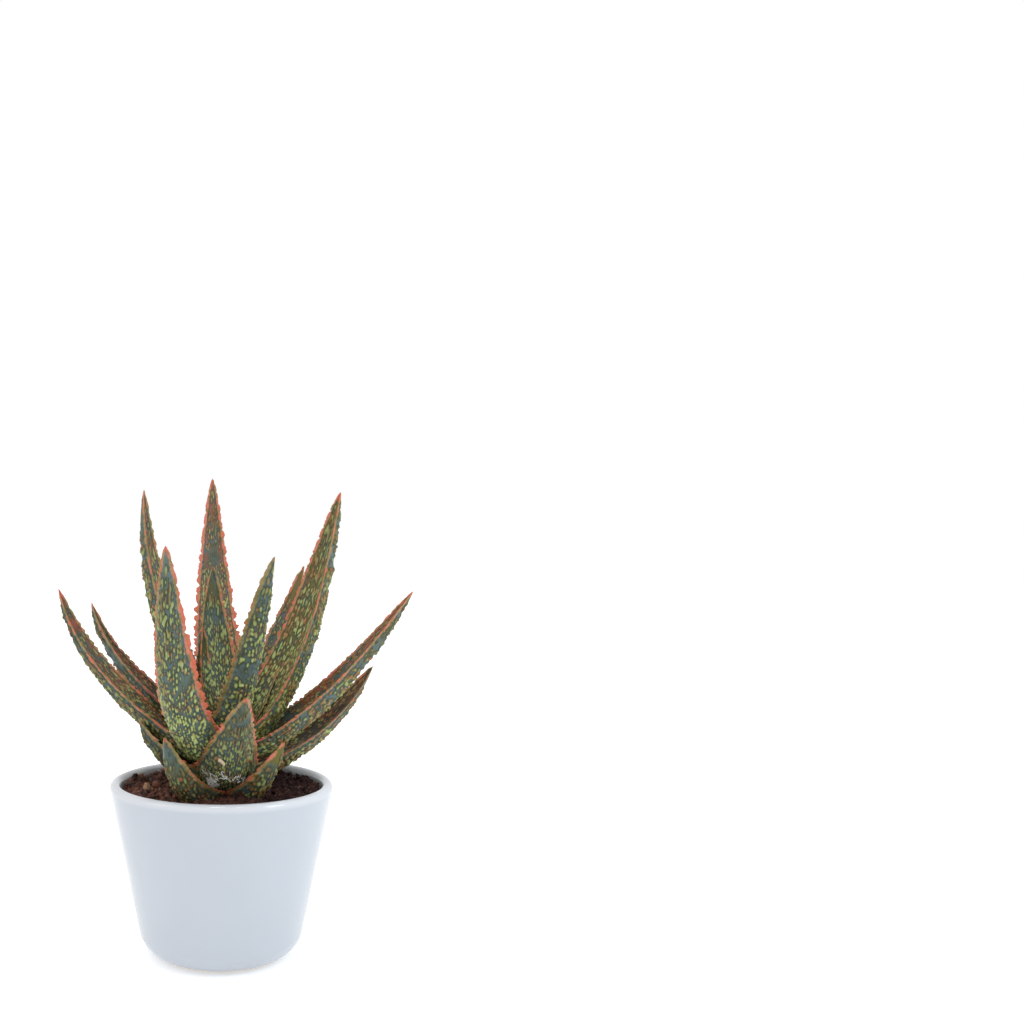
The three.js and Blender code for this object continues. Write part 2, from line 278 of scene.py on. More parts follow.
# Floor and soft lights: for each light its place, its width and height, its watts and its colour
FLOOR_REACH = 6.0
FLOOR_GLOW = 0.32
LIGHTS = {
    "key": ((0.9, -0.5, 0.9), (0.4, 0.4), 4.2, (0.88, 0.95, 1.0)),
    "fill": ((-0.95, -0.3, 0.85), (0.5, 0.8), 2.0, (1.0, 0.93, 0.84)),
    "top": ((0.0, -0.3, 1.3), (0.6, 0.08), 3.5, (1.0, 1.0, 1.0)),
}
LIGHT_AIM = 0.13  # the lights face the pot's axis at this height


def arc(centre_r, centre_z, radius, start, end, steps):
    """Points [radius, height] along a circular arc of a profile, between two angles in degrees."""
    angle = np.radians(np.linspace(start, end, steps + 1))
    return np.stack([centre_r + radius * np.cos(angle), centre_z + radius * np.sin(angle)], 1)


def outer_radius(z):
    """The radius of the pot's outer wall at a height: a straight line from the base to the rim."""
    return POT_BASE_RADIUS + (POT_RIM_RADIUS - POT_BASE_RADIUS) * z / POT_HEIGHT


def circle(sides):
    """As many angles, evenly round a circle."""
    return np.linspace(0, 2 * np.pi, sides, endpoint=False)


def smooth_step(value, low, high):
    """From 0 at low to 1 at high, level at both ends: 3 s squared minus 2 s cubed."""
    s = np.clip((value - low) / (high - low), 0, 1)
    return s * s * (3 - 2 * s)


def value_noise(u, v, seed):
    """Smooth noise from -1 to 1: draws on a unit grid, blended between its corners by a smooth step."""
    table = np.random.default_rng(seed).uniform(-1, 1, (64, 64))
    i = np.floor(u).astype(int)
    j = np.floor(v).astype(int)
    a = smooth_step(u - i, 0, 1)
    b = smooth_step(v - j, 0, 1)
    low = table[i % 64, j % 64] * (1 - a) + table[(i + 1) % 64, j % 64] * a
    high = table[i % 64, (j + 1) % 64] * (1 - a) + table[(i + 1) % 64, (j + 1) % 64] * a
    return low * (1 - b) + high * b


def closed_skins(rings, start, end):
    """Points, quads and triangles of closed skins that all have as many rings of as many points.

    rings has one axis each for the skin, its ring, the point on it and the coordinate. Neighbouring rings are
    joined by quads, and the first and the last ring by triangles to the skin's start and end point."""
    skins, count, around = rings.shape[:3]
    points = np.concatenate([rings.reshape(skins, -1, 3), start[:, None], end[:, None]], 1)
    side = np.arange(around)
    after = (side + 1) % around
    first = np.arange(count - 1)[:, None] * around
    quads = np.stack([first + side, first + after, first + around + after, first + around + side], -1)
    pole = np.full(around, count * around)
    last = (count - 1) * around
    head = np.stack([pole, after, side], 1)
    tail = np.stack([pole + 1, last + side, last + after], 1)
    offset = np.arange(skins)[:, None, None] * points.shape[1]
    quads = quads.reshape(1, -1, 4) + offset
    triangles = np.concatenate([head, tail])[None] + offset
    return points.reshape(-1, 3), quads.reshape(-1, 4), triangles.reshape(-1, 3)


def turned(profile, sides, x=0.0):
    """A closed skin turned about the vertical through x, from a profile that starts and ends on the axis."""
    angle = circle(sides)
    radius = profile[1:-1, :1]
    height = profile[1:-1, 1:] + 0 * angle
    rings = np.stack([x + radius * np.cos(angle), radius * np.sin(angle), height], -1)
    ends = np.stack([np.full(2, x), np.zeros(2), profile[[0, -1], 1]], 1)
    return closed_skins(rings[None], ends[:1], ends[1:])


def tubes(paths, radii, sides=5):
    """Thin closed tubes along paths, one a row, with a radius at each point. Each ring lies square to the
    path, on two directions: its cross products with a line near the vertical, and with the first of them."""
    along = np.gradient(paths, axis=1)
    along /= np.linalg.norm(along, axis=-1, keepdims=True)
    first = np.cross(along, [0.31, 0.17, 0.93])
    first /= np.linalg.norm(first, axis=-1, keepdims=True)
    second = np.cross(along, first)
    angle = circle(sides)[:, None]
    spokes = first[:, :, None] * np.cos(angle) + second[:, :, None] * np.sin(angle)
    rings = paths[:, :, None] + spokes * radii[:, :, None, None]
    start = paths[:, 0] - along[:, 0] * radii[:, :1]
    end = paths[:, -1] + along[:, -1] * radii[:, -1:]
    return closed_skins(rings, start, end)


def blobs(centres, sizes, seed, rings=4, sides=7):
    """Small closed lumps: balls with a drawn radius at each point, stretched by sizes and turned by a drawn
    unit quaternion."""
    rng = np.random.default_rng(seed)
    count = len(centres)
    polar = np.pi * np.arange(1, rings + 1)[:, None] / (rings + 1)
    angle = circle(sides)
    level = np.sin(polar)
    ball = np.stack([level * np.cos(angle), level * np.sin(angle), np.cos(polar) + 0 * angle], -1)
    ball = np.concatenate([ball.reshape(-1, 3), [[0, 0, 1], [0, 0, -1]]])
    rough = ball * rng.uniform(*CRUMB_ROUGH, (count, len(ball), 1)) * sizes[:, None]
    turn = rng.normal(size=(count, 1, 4))
    turn /= np.linalg.norm(turn, axis=-1, keepdims=True)
    w, axis = turn[..., :1], turn[..., 1:]
    points = rough + 2 * np.cross(axis, np.cross(axis, rough) + w * rough) + centres[:, None]
    skin = points[:, :-2].reshape(count, rings, sides, 3)
    return closed_skins(skin, points[:, -2], points[:, -1])


def add_piece(name, skin, finish, nodes=(), values=None, across=None):
    """Makes a closed skin into a piece that rides on the part, with its faces pointing outwards.

    values are numbers for each point, kept as attributes, and across is each point's place on the UV map."""
    points, quads, triangles = skin
    corners = np.concatenate([quads[:, [0, 1, 2]], quads[:, [0, 2, 3]], triangles])
    a, b, c = (points[corners[:, k]] for k in range(3))
    if np.einsum("ij,ij->i", a, np.cross(b, c)).sum() < 0:
        quads = quads[:, ::-1]
        triangles = triangles[:, ::-1]
    mesh = bpy.data.meshes.new(name)
    mesh.from_pydata(points.tolist(), [], quads.tolist() + triangles.tolist())
    mesh.shade_smooth()
    for key, numbers in (values or {}).items():
        mesh.attributes.new(key, "FLOAT", "POINT").data.foreach_set("value", numbers.astype(np.float32))
    if across is not None:
        loops = np.concatenate([quads.ravel(), triangles.ravel()])
        mesh.uv_layers.new(name="UVMap").uv.foreach_set("vector", across[loops].astype(np.float32).ravel())
    mesh.materials.append(finish)
    piece = bpy.data.objects.new(name, mesh)
    bpy.context.scene.collection.objects.link(piece)
    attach(piece, "root")
    if nodes:
        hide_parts(*nodes)


class Finish:
    """A procedural material in the making, with a Principled shader at its end."""

    def __init__(self, name, roughness=0.5):
        self.material = bpy.data.materials.new(name)
        self.material.use_nodes = True
        self.tree = self.material.node_tree
        self.shader = self.tree.nodes["Principled BSDF"]
        self.set("Roughness", roughness)

    def put(self, socket, value):
        if isinstance(value, bpy.types.NodeSocket):
            self.tree.links.new(value, socket)
        else:
            socket.default_value = value

    def set(self, name, value):
        self.put(self.shader.inputs[name], value)

    def node(self, kind, inputs=None, output=0, **settings):
        """Adds a node, fills its inputs by name or number, and gives back one of its outputs."""
        made = self.tree.nodes.new("ShaderNode" + kind)
        for key, value in settings.items():
            setattr(made, key, value)
        for key, value in (inputs or {}).items():
            self.put(made.inputs[key], value)
        return made.outputs[output]

    def place(self, scale=(1, 1, 1), across=False):
        """Where a point is: on the object, or on its UV map, stretched by scale."""
        where = self.node("UVMap", uv_map="UVMap") if across else self.node("TexCoord", output="Object")
        return self.node("Mapping", {"Vector": where, "Scale": scale})

    def attribute(self, name):
        return self.node("Attribute", output="Fac", attribute_name=name)

    def noise(self, where, scale, detail=2.0, roughness=0.5):
        inputs = {"Vector": where, "Scale": scale, "Detail": detail, "Roughness": roughness}
        return self.node("TexNoise", inputs)

    def ramp(self, value, low, high, start=0.0, end=1.0):
        """A smooth step of a value between two limits, from start to end."""
        inputs = {"Value": value, "From Min": low, "From Max": high, "To Min": start, "To Max": end}
        return self.node("MapRange", inputs, interpolation_type="SMOOTHSTEP")

    def plus(self, a, b):
        return self.node("Math", {0: a, 1: b}, operation="ADD")

    def times(self, a, b):
        return self.node("Math", {0: a, 1: b}, operation="MULTIPLY")

    def mix(self, share, a, b):
        """A blend of two colours, from a at share 0 to b at 1."""
        a, b = (each if isinstance(each, bpy.types.NodeSocket) else (*each, 1.0) for each in (a, b))
        return self.node("Mix", {0: share, 6: a, 7: b}, output=2, data_type="RGBA")

    def bump(self, height, distance, strength=1.0, under=None):
        inputs = {"Height": height, "Distance": distance, "Strength": strength}
        if under is not None:
            inputs["Normal"] = under
        return self.node("Bump", inputs)


def glaze_finish(looks):
    """Glossy glaze, whitened on the lip by painted light, with a faint cloudiness, a barely uneven surface
    and a bare foot.
    """
    made = Finish("glaze")
    made.set("IOR", 1.52)
    where = made.place()
    cloud = made.ramp(made.noise(where, 14, 3), 0.35, 0.7)
    body = made.mix(cloud, looks.glaze, [0.96 * c for c in looks.glaze])
    height = made.node("SeparateXYZ", {0: where}, output=2)
    # painted light: whiter colour on the lip and the top of the inner wall, where light falls on them
    body = made.mix(made.ramp(height, 0.0975, 0.1005, 0, 0.28), body, looks.lip)
    bare = made.ramp(height, 0.0012, 0.0006)
    made.set("Base Color", made.mix(bare, body, looks.bisque))
    made.set("Roughness", made.ramp(bare, 0, 1, 0.11, 0.8))
    waves = made.noise(where, 45, 2)
    pores = made.noise(where, 1500, 1)
    slow = made.bump(waves, 0.0005, 0.22)
    made.set("Normal", made.bump(pores, 0.00002, 0.25, slow))
    return made.material


def shade_and_dull_side(made, body, looks):
    """Gives soil its colour, with painted shade that darkens it towards +x, where it is also less shiny."""
    side = made.node("SeparateXYZ", {0: made.place()})
    # painted shade: the colour darkens towards +x
    made.set("Base Color", made.mix(made.ramp(side, *SHADED_SIDE, 0, 0.9), body, looks.dark_soil_and_shade))
    made.set("Specular IOR Level", made.ramp(side, *SHADED_SIDE, 0.5, 0.2))


def soil_finish(looks):
    """Moist peat: reddish brown, nearly black in its pores, darkened by painted shade towards +x, with paler
    dry fibres.
    """
    made = Finish("soil", roughness=0.93)
    where = made.place()
    grain = made.noise(where, 420, 5, 0.65)
    patch = made.noise(where, 60, 3)
    fibre = made.noise(made.place((1, 0.18, 0.5)), 900, 3, 0.6)
    body = made.mix(made.ramp(grain, 0.36, 0.66), looks.dark_soil_and_shade, looks.soil)
    body = made.mix(made.ramp(patch, 0.45, 0.7, 0, 0.55), body, [0.6 * c for c in looks.soil])
    body = made.mix(made.ramp(fibre, 0.62, 0.72, 0, 0.6), body, looks.soil_fibre)
    # painted shade towards +x
    shade_and_dull_side(made, body, looks)
    made.set("Normal", made.bump(grain, 0.0009, 0.9))
    return made.material


def crumb_finish(looks):
    """Loose crumbs, each with its own shade from nearly black to bark brown."""
    made = Finish("crumbs", roughness=0.92)
    grain = made.noise(made.place(), 700, 4, 0.6)
    tint = made.attribute("tint")
    body = made.mix(made.ramp(tint, 0.1, 0.8), looks.dark_soil_and_shade, looks.soil)
    body = made.mix(made.ramp(tint, 0.9, 1.0), body, looks.bark)
    body = made.mix(made.ramp(grain, 0.35, 0.65, 0, 0.5), body, looks.dark_soil_and_shade)
    # painted shade towards +x, as on the soil
    shade_and_dull_side(made, body, looks)
    made.set("Normal", made.bump(grain, 0.0005, 0.8))
    return made.material


def thread_finish(name, colour):
    """A dry thread or fibre with a little change of shade along it."""
    made = Finish(name, roughness=0.8)
    shade = made.noise(made.place(), 350, 2)
    made.set("Base Color", made.mix(shade, colour, [0.7 * c for c in colour]))
    return made.material


def stem_finish(looks):
    """Pale green to brown, with dry rings."""
    made = Finish("stem", roughness=0.7)
    rings = made.noise(made.place((1, 1, 8)), 90, 3)
    dry = made.ramp(rings, 0.4, 0.65)
    made.set("Base Color", made.mix(dry, looks.leaf_base, looks.soil_fibre))
    made.set("Normal", made.bump(rings, 0.0006, 0.7))
    return made.material


def leaf_ground(made, looks, patch, mottle, streak):
    """The skin under the spots: slate and green in patches, dark streaks along the leaf, patches of olive,
    more of them near the tip, brown, which near the root of the upper face is painted shade, a pale foot, and
    coral blotches inside the margins."""
    along = made.attribute("along")
    leafy = made.plus(made.attribute("green"), made.ramp(patch, 0.35, 0.65, -0.3, 0.3))
    skin = made.mix(made.ramp(leafy, 0.1, 0.9), looks.slate, looks.green)
    skin = made.mix(made.ramp(mottle, 0.4, 0.62, 0, 0.3), skin, looks.green)
    skin = made.mix(made.ramp(streak, 0.5, 0.75, 0, 0.3), skin, looks.dark_green_and_shade)
    olive = made.plus(made.ramp(along, 0.5, 1.0, 0, 0.5), made.attribute("olive"))
    olive = made.times(olive, made.ramp(patch, 0.42, 0.56))
    olive = made.times(olive, made.ramp(streak, 0.35, 0.6, 1.0, 0.35))
    skin = made.mix(olive, skin, looks.olive)
    # brown holds the leaf's own brown and, near the root of the upper face, painted shade
    brown = made.times(made.attribute("brown"), made.ramp(streak, 0.25, 0.6, 0.98, 0.72))
    skin = made.mix(brown, skin, looks.umber_and_shade)
    skin = made.mix(made.ramp(along, 0.12, 0.03, 0, 0.7), skin, looks.leaf_base)
    long_patch = made.noise(made.place((260, 75, 1), across=True), 1, 2, 0.5)
    blotch = made.times(made.ramp(long_patch, 0.43, 0.52), made.attribute("blotch"))
    blotch = made.times(blotch, made.ramp(along, 0.2, 0.45, 0, 0.85))
    return made.mix(blotch, skin, looks.coral_dark)


def leaf_spots(made, looks, skin, patch, mottle, fine):
    """Lays the spots over the skin: lime while they are young, with a painted highlight in the middle, then
    tan, orange and coral, each with a deeper coloured rind and a ring of painted shadow round it. They are
    fainter towards the tip."""
    depth = made.plus(made.attribute("spot"), made.ramp(mottle, 0.3, 0.7, -0.14, 0.14))
    # painted shadow: a dark ring round each raised spot
    skin = made.mix(made.ramp(depth, -0.37, -0.1, 0, 0.6), skin, looks.dark_green_and_shade)
    ripe = made.plus(made.attribute("ripe"), made.ramp(patch, 0.35, 0.65, -0.2, 0.2))
    spots = made.mix(made.ramp(ripe, 0.65, 1.05), looks.lime, looks.tan)
    spots = made.mix(made.ramp(ripe, 1.05, 1.25), spots, looks.orange)
    spots = made.mix(made.ramp(ripe, 1.3, 1.55), spots, looks.coral)
    rind = made.mix(made.ramp(ripe, 0.5, 1.0), looks.olive, looks.orange)
    spots = made.mix(made.ramp(depth, 0.25, 0.02, 0, 0.7), spots, rind)
    spots = made.mix(made.ramp(fine, 0.35, 0.65, 0, 0.25), spots, looks.olive)
    # painted highlight: a paler middle on the top of the young spots
    spot_highlight = made.times(made.ramp(depth, 0.2, 0.5), made.ramp(ripe, 1.1, 0.5, 0.2, 0.75))
    spots = made.mix(spot_highlight, spots, looks.lime_highlight)
    strength = made.ramp(made.attribute("along"), 0.35, 0.95, 0.97, 0.55)
    return made.mix(made.times(made.ramp(depth, -0.1, 0.16), strength), skin, spots)


def leaf_margin(made, looks, skin, patch, mottle, fine):
    """Lays the line along the margin, the teeth and the coloured tip over the skin, from tan to coral by how
    much the margin blushes."""
    blush = made.plus(made.attribute("blush"), made.ramp(patch, 0.35, 0.65, -0.35, 0.2))
    edge = made.plus(made.attribute("edge"), made.ramp(mottle, 0.3, 0.7, -0.0002, 0.0002))
    line = made.mix(made.ramp(blush, 0.45, 1.0), looks.tan, looks.salmon)
    line = made.mix(made.ramp(mottle, 0.42, 0.62, 0, 0.8), line, looks.olive)
    skin = made.mix(made.ramp(edge, 0.0003, 0.00005, 0, 0.9), skin, line)
    tooth = made.mix(made.ramp(blush, 0.3, 0.7), looks.tan, looks.coral)
    tooth = made.mix(made.ramp(fine, 0.4, 0.75, 0, 0.5), tooth, looks.salmon)
    skin = made.mix(made.ramp(edge, -0.0005, -0.0009), skin, tooth)
    tip = made.times(made.ramp(made.attribute("along"), 0.96, 0.995), made.ramp(blush, 0.2, 1.1))
    return made.mix(tip, skin, looks.coral)


def leaf_finish(looks):
    """Waxy leaf skin: slate blue over green, lime to tan and coral raised spots, and coral margins and teeth.

    The attributes are made with the leaf: spot is how deep a point lies in a spot, ripe that spot's age, edge
    the distance in from the margin, blush how coral the nearer margin is, blotch how much coral may lie
    inside it, along the share of the way to the tip, green, brown and olive how much of each the skin has,
    brown also holding the painted shade near the root of the upper face, and painted_shade how much painted
    shade darkens the whole leaf under its margins' colour."""
    made = Finish("leaf")
    made.set("Specular IOR Level", 0.27)
    where = made.place()
    streak = made.noise(made.place((900, 70, 1), across=True), 1, 3, 0.6)
    patch = made.noise(where, 75, 3, 0.55)
    mottle = made.noise(where, 260, 3, 0.6)
    fine = made.noise(where, 1000, 3, 0.6)
    skin = leaf_ground(made, looks, patch, mottle, streak)
    skin = leaf_spots(made, looks, skin, patch, mottle, fine)
    # painted shade: darkens the whole leaf by its painted_shade
    skin = made.mix(made.attribute("painted_shade"), skin, looks.dark_green_and_shade)
    made.set("Base Color", leaf_margin(made, looks, skin, patch, mottle, fine))
    made.set("Roughness", made.ramp(fine, 0.3, 0.7, 0.4, 0.55))
    ribs = made.bump(streak, 0.0003, 0.2)
    made.set("Normal", made.bump(fine, 0.00012, 0.5, ribs))
    return made.material


def leaf_heading(leaf, share):
    """The direction in which a leaf grows at a share of its length. Its slope is the parabola through the
    three values of rise, and its azimuth turns evenly by sway."""
    root, half, tip = leaf.rise
    slope = np.radians(
        root * (1 - share) * (1 - 2 * share) + half * 4 * share * (1 - share) + tip * share * (2 * share - 1)
    )
    way = np.radians(leaf.turn + leaf.sway * share)
    return np.stack([np.cos(slope) * np.cos(way), np.cos(slope) * np.sin(way), np.sin(slope)], -1)


def half_width(leaf, share):
    """Half the width of a leaf at a share of its length: wide / 2 times (1 - share ** 1.6) ** 0.85."""
    return leaf.wide / 2 * (1 - share**1.6) ** 0.85


def leaf_points(leaf, share, t, curl=0.0, reach=0.0, lift=0.0):
    """Points of a leaf's skin at a share of its length and at t across it, from -1 to 1.

    The middle line is the sum of short steps along the heading. The upper face rises from it by CHANNEL
    times half the width times t squared. curl goes from 0 on the upper face round the margin to pi on the
    back, which bulges by the thickness times 1 - |t| ** 2.2. The thickness is thick times
    (1 - share ** 2) ** 0.7. reach is how far a point stands out past the margin, and lift how far it stands
    off the back. Near the root all points move inwards by the square of their distance from the middle line
    over twice the clasp radius, fading with the length."""
    stops = np.linspace(0, 1, COURSE_STEPS + 1)
    steps = leaf_heading(leaf, (stops[1:] + stops[:-1]) / 2) * leaf.long / COURSE_STEPS
    line = np.array([STEM_X, 0, leaf.seat]) + np.concatenate([np.zeros((1, 3)), np.cumsum(steps, 0)])
    middle = np.stack([np.interp(share, stops, line[:, k]) for k in range(3)], -1)
    way = np.radians(leaf.turn + leaf.sway * share)
    inward = np.stack([-np.cos(way), -np.sin(way), 0 * way], -1)
    level = np.stack([-np.sin(way), np.cos(way), 0 * way], -1)
    up = np.cross(leaf_heading(leaf, share), level)
    tilt = np.radians(leaf.roll * share)[..., None]
    side = level * np.cos(tilt) + up * np.sin(tilt)
    face = up * np.cos(tilt) - level * np.sin(tilt)

    half = half_width(leaf, share)
    thick = leaf.thick * (1 - share**2) ** 0.7
    across = t * half + np.sign(t) * reach
    margin = np.minimum(EDGE, half / 2) / 2 * np.abs(t) ** 3 * np.cos(curl)
    bulge = (curl > np.pi / 2) * (thick * (1 - np.abs(t) ** 2.2) + lift)
    height = CHANNEL * half * t**2 + TOOTH_LIFT * reach + margin - bulge
    clasp = across**2 * (np.exp(-((share * leaf.long / CLASP_LENGTH) ** 2)) / (2 * CLASP_RADIUS))
    return middle + side * across[..., None] + face * height[..., None] + inward * clasp[..., None]


def tooth_heights(length, tall, rng):
    """How far a margin stands out at each distance along it: blunt lobes, each with its own place, length and
    height, that fade towards the root and the tip, and the lobes of a lower serration added to them. Tall
    teeth are long and stand further apart."""
    s = length[:, 0]
    end = s[-1]
    total = 0 * s
    teeth = (TOOTH_PITCH + TOOTH_PITCH_GROWTH * tall, tall)
    serration = (SERRATION_PITCH, min(SERRATION_MOST, SERRATION_GROWTH * tall + SERRATION))
    for pitch, height in (teeth, serration):
        count = int(end / pitch) + 1
        centre = (np.arange(count) + 0.5 + rng.uniform(-0.25, 0.25, count)) * pitch
        reach = pitch * rng.uniform(0.2, 0.38, count) * (0.8 + 0.7 * centre / end)
        away = (s[:, None] - centre) / reach
        bulge = np.clip(1 - np.abs(away - 0.15 * away**2) ** 2.6, 0, 1) ** 0.6
        total = total + (height * rng.uniform(0.35, 1.05, count) * bulge).max(1)
    fade = np.minimum(1, s / TOOTHLESS) * (1 - s / end) ** 0.35
    return (total * fade)[:, None]


def spot_field(s, u, share, coarse, bare, seed):
    """How deep each point of a leaf lies in its spots, and the draw from 0 to 1 of the spots it lies in.

    Spots stand in rows along the leaf. Their spacing in a row grows from SPOT_STEP at the root to more than
    twice that at the tip, all times coarse, and each is moved, sized and left out by a seeded draw. Each adds
    a bell-shaped hump, longest along the leaf and lower where it is small, and the depth is the sum of the
    humps less the height of one at its outline, so that spots which nearly touch join. More are left out
    between cross bands, towards the tip and by bare."""
    table = np.random.default_rng(seed).random((64, 96, 6))
    end = s[-1:] / share[-1:]
    progress = np.log1p(SPOT_STRETCH * share) * end / SPOT_STRETCH / SPOT_STEP / coarse
    place = u / SPOT_ROW / coarse
    row = np.floor(place).astype(int)
    step = np.floor(progress).astype(int)
    humps = np.zeros(s.shape)
    draws = np.zeros(s.shape)
    for beside in (-1, 0, 1):
        for before in (-1, 0, 1):
            i = row + beside
            j = step + before
            draw = table[i % 64, j % 96]
            middle_u = i + 0.5 + 0.5 * (draw[..., 0] - 0.5)
            middle_s = j + 0.5 * (i % 2) + 0.25 + 0.7 * (draw[..., 1] - 0.5)
            band_s = middle_s * coarse * SPOT_STEP / SPOT_BAND[0]
            band = value_noise(band_s, middle_u * coarse * SPOT_ROW / SPOT_BAND[1], seed + 1)
            here = smooth_step(0.9 * band + 1.2 - bare - 0.7 * share, -0.1, 0.8)
            wide = 0.27 + 0.17 * draw[..., 2]
            long = 0.26 + 0.26 * draw[..., 3]
            hump = np.exp(-(((place - middle_u) / wide) ** 2) - ((progress - middle_s) / long) ** 2)
            hump = hump * (draw[..., 4] < here) * (0.66 + 0.44 * draw[..., 2])
            humps += hump
            draws += hump * draw[..., 5]
    return humps - SPOT_OUTLINE, draws / (humps + 1e-6)


def leaf_ring(leaf):
    """The points of a ring round a leaf: over its upper face, round one margin, back over the underside and
    round the other margin. Gives t and curl, as leaf_points takes them."""
    flat = round(leaf.wide / COLUMN)
    bend = np.linspace(0, np.pi, EDGE_COLUMNS + 2)[1:-1]
    upper = np.linspace(-1, 1, flat + 1)
    under = np.linspace(1, -1, round(1.15 * flat) + 1)
    t = np.concatenate([upper, np.ones(EDGE_COLUMNS), under, -np.ones(EDGE_COLUMNS)])
    curl = np.concatenate([0 * upper, bend, 0 * under + np.pi, bend[::-1]])
    return t[None], curl[None]


def leaf_relief(spots, s, u, inset, on_back, seed):
    """How far each point of a leaf stands up: by its spot, by small warts on the back, by a rib under each
    row of spots and by slow unevenness that fades towards the margins."""
    warts = value_noise(s / WART_SPACING[0], u / WART_SPACING[1] + 9, seed + 3)
    warts = on_back * smooth_step(warts, 0.35, 0.75)
    swell = value_noise(s / SWELL_SPACING[0], u / SWELL_SPACING[1] + 7 * on_back, seed + 5)
    relief = spots * np.where(on_back, SPOT_RELIEF[1], SPOT_RELIEF[0])
    relief = relief + WART * warts + RIB * np.cos(2 * np.pi * u / SPOT_ROW)
    return relief + SWELL * swell * np.minimum(1, inset / EVEN_WIDTH)


def leaf_skin(leaf, looks, seed):
    """A leaf's closed skin, with the numbers that its finish reads and the place of each point on its UV map.

    Its points lie on the smooth leaf with its teeth, and each is then raised along the normal by its relief,
    which fades where the leaf is narrow and towards its tip."""
    rng = np.random.default_rng(seed)
    stations = round(leaf.long / STATION)
    share = np.linspace(ROOT_START / leaf.long, 1 - TIP_STOP / leaf.long, stations + 1)[:, None]
    t, curl = leaf_ring(leaf)
    share_all = share + 0 * t
    s = share_all * leaf.long
    on_back = curl > np.pi / 2

    teeth = [tooth_heights(share * leaf.long, tall * looks.tooth_size, rng) for tall in leaf.teeth]
    half = half_width(leaf, share)
    rounding = np.minimum(EDGE, half / 2) / 2
    reach = np.sin(curl) * (rounding + np.where(t < 0, teeth[0], teeth[1]))
    rings = leaf_points(leaf, share_all, t + 0 * share, curl + 0 * share, reach)
    sideways = np.roll(rings, -1, 1) - np.roll(rings, 1, 1)
    normal = np.cross(np.gradient(rings, axis=0), sideways)
    normal /= np.linalg.norm(normal, axis=-1, keepdims=True) + 1e-12

    u = t * half
    inset = (1 - np.abs(t)) * half
    face_spots = spot_field(s, u, share_all, leaf.coarse, leaf.bare, seed + 11)
    back_spots = spot_field(s, u + BACK_SHIFT, share_all, 1, 0, seed + 29)
    depth, tint = (np.where(on_back, back, face) for face, back in zip(face_spots, back_spots))
    depth = np.minimum(depth, inset / SPOTLESS - 0.6)
    spots = looks.spot_height * smooth_step(depth, -0.25, 0.5)
    fade = np.minimum(1, half / EVEN_WIDTH) * np.minimum(1, (1 - share) * leaf.long / EVEN_TIP)
    rings = rings + normal * (leaf_relief(spots, s, u, inset, on_back, seed) * fade)[..., None]

    values = {
        "spot": depth,
        "ripe": tint + 0.34 * share_all + leaf.ripe * np.where(on_back, 0.5, 1),
        "edge": np.where(inset > 0, inset, rounding * np.sin(curl) - reach),
        "blush": np.where(t < 0, leaf.blush[0], leaf.blush[1]) + 0 * share,
        "along": share_all,
        "blotch": np.where(on_back, 0, leaf.blotch) * smooth_step(inset, *BLOTCH_REACH),
        "green": np.where(on_back, 0.2, leaf.green) + 0 * share,
        "olive": leaf.olive + 0 * share_all,
        # painted shade over the whole leaf
        "painted_shade": leaf.painted_shade + 0 * share_all,
        # the second term is painted shade: umber on the upper face near the root, between the leaves
        "brown": np.where(on_back, 0, np.maximum(leaf.brown, 0.8 * smooth_step(s, *SHADED_ROOT))),
    }
    place = np.stack([u + np.sign(t) * reach, s], -1)
    tip = leaf_points(leaf, np.array([1.0]), np.array([0.0]))
    skin = closed_skins(rings[None], rings[:1].mean(1), tip)
    values = {key: np.concatenate([v.ravel(), [v[0].mean(), v[-1].mean()]]) for key, v in values.items()}
    place = np.concatenate([place.reshape(-1, 2), place[[0, -1]].mean(1)])
    return skin, values, place


def clods():
    """The soil's rounded clods, as x, y, size and height, by the same repeatable draws as in its solid."""
    state = 41.0
    draws = []
    for _ in range(4 * CLODS):
        state = (state * 1103515245.0 + 12345.0) % 2.0**31
        draws.append(state / 2**31)
    angle, reach, size, height = np.array(draws).reshape(CLODS, 4).T
    reach = CLOD_SPREAD * np.sqrt(reach)
    angle = 2 * np.pi * angle
    size = CLOD_SIZE[0] + (CLOD_SIZE[1] - CLOD_SIZE[0]) * size
    height = CLOD_HEIGHT[0] + (CLOD_HEIGHT[1] - CLOD_HEIGHT[0]) * height
    return reach * np.cos(angle), reach * np.sin(angle), size, height


def soil_height(x, y):
    """The soil's surface: level, with bell-shaped clods, and with crumbs of three sizes on them."""
    shape = np.shape(x)
    x, y = np.ravel(x), np.ravel(y)
    cx, cy, size, height = clods()
    lumps = height * np.exp(-((x[:, None] - cx) ** 2 + (y[:, None] - cy) ** 2) / size**2)
    z = SOIL_LEVEL + lumps.sum(1)
    for scale, tall, seed in SOIL_CRUMBLE:
        crumb = value_noise(x / scale + 31, y / scale + 17, seed)
        z = z + tall * (1 - 2 * np.abs(crumb))
    return z.reshape(shape)


def soil_wall(z):
    """The soil's radius at a height, just inside the pot's wall."""
    return outer_radius(z) - LEVEL_WALL - SOIL_GAP


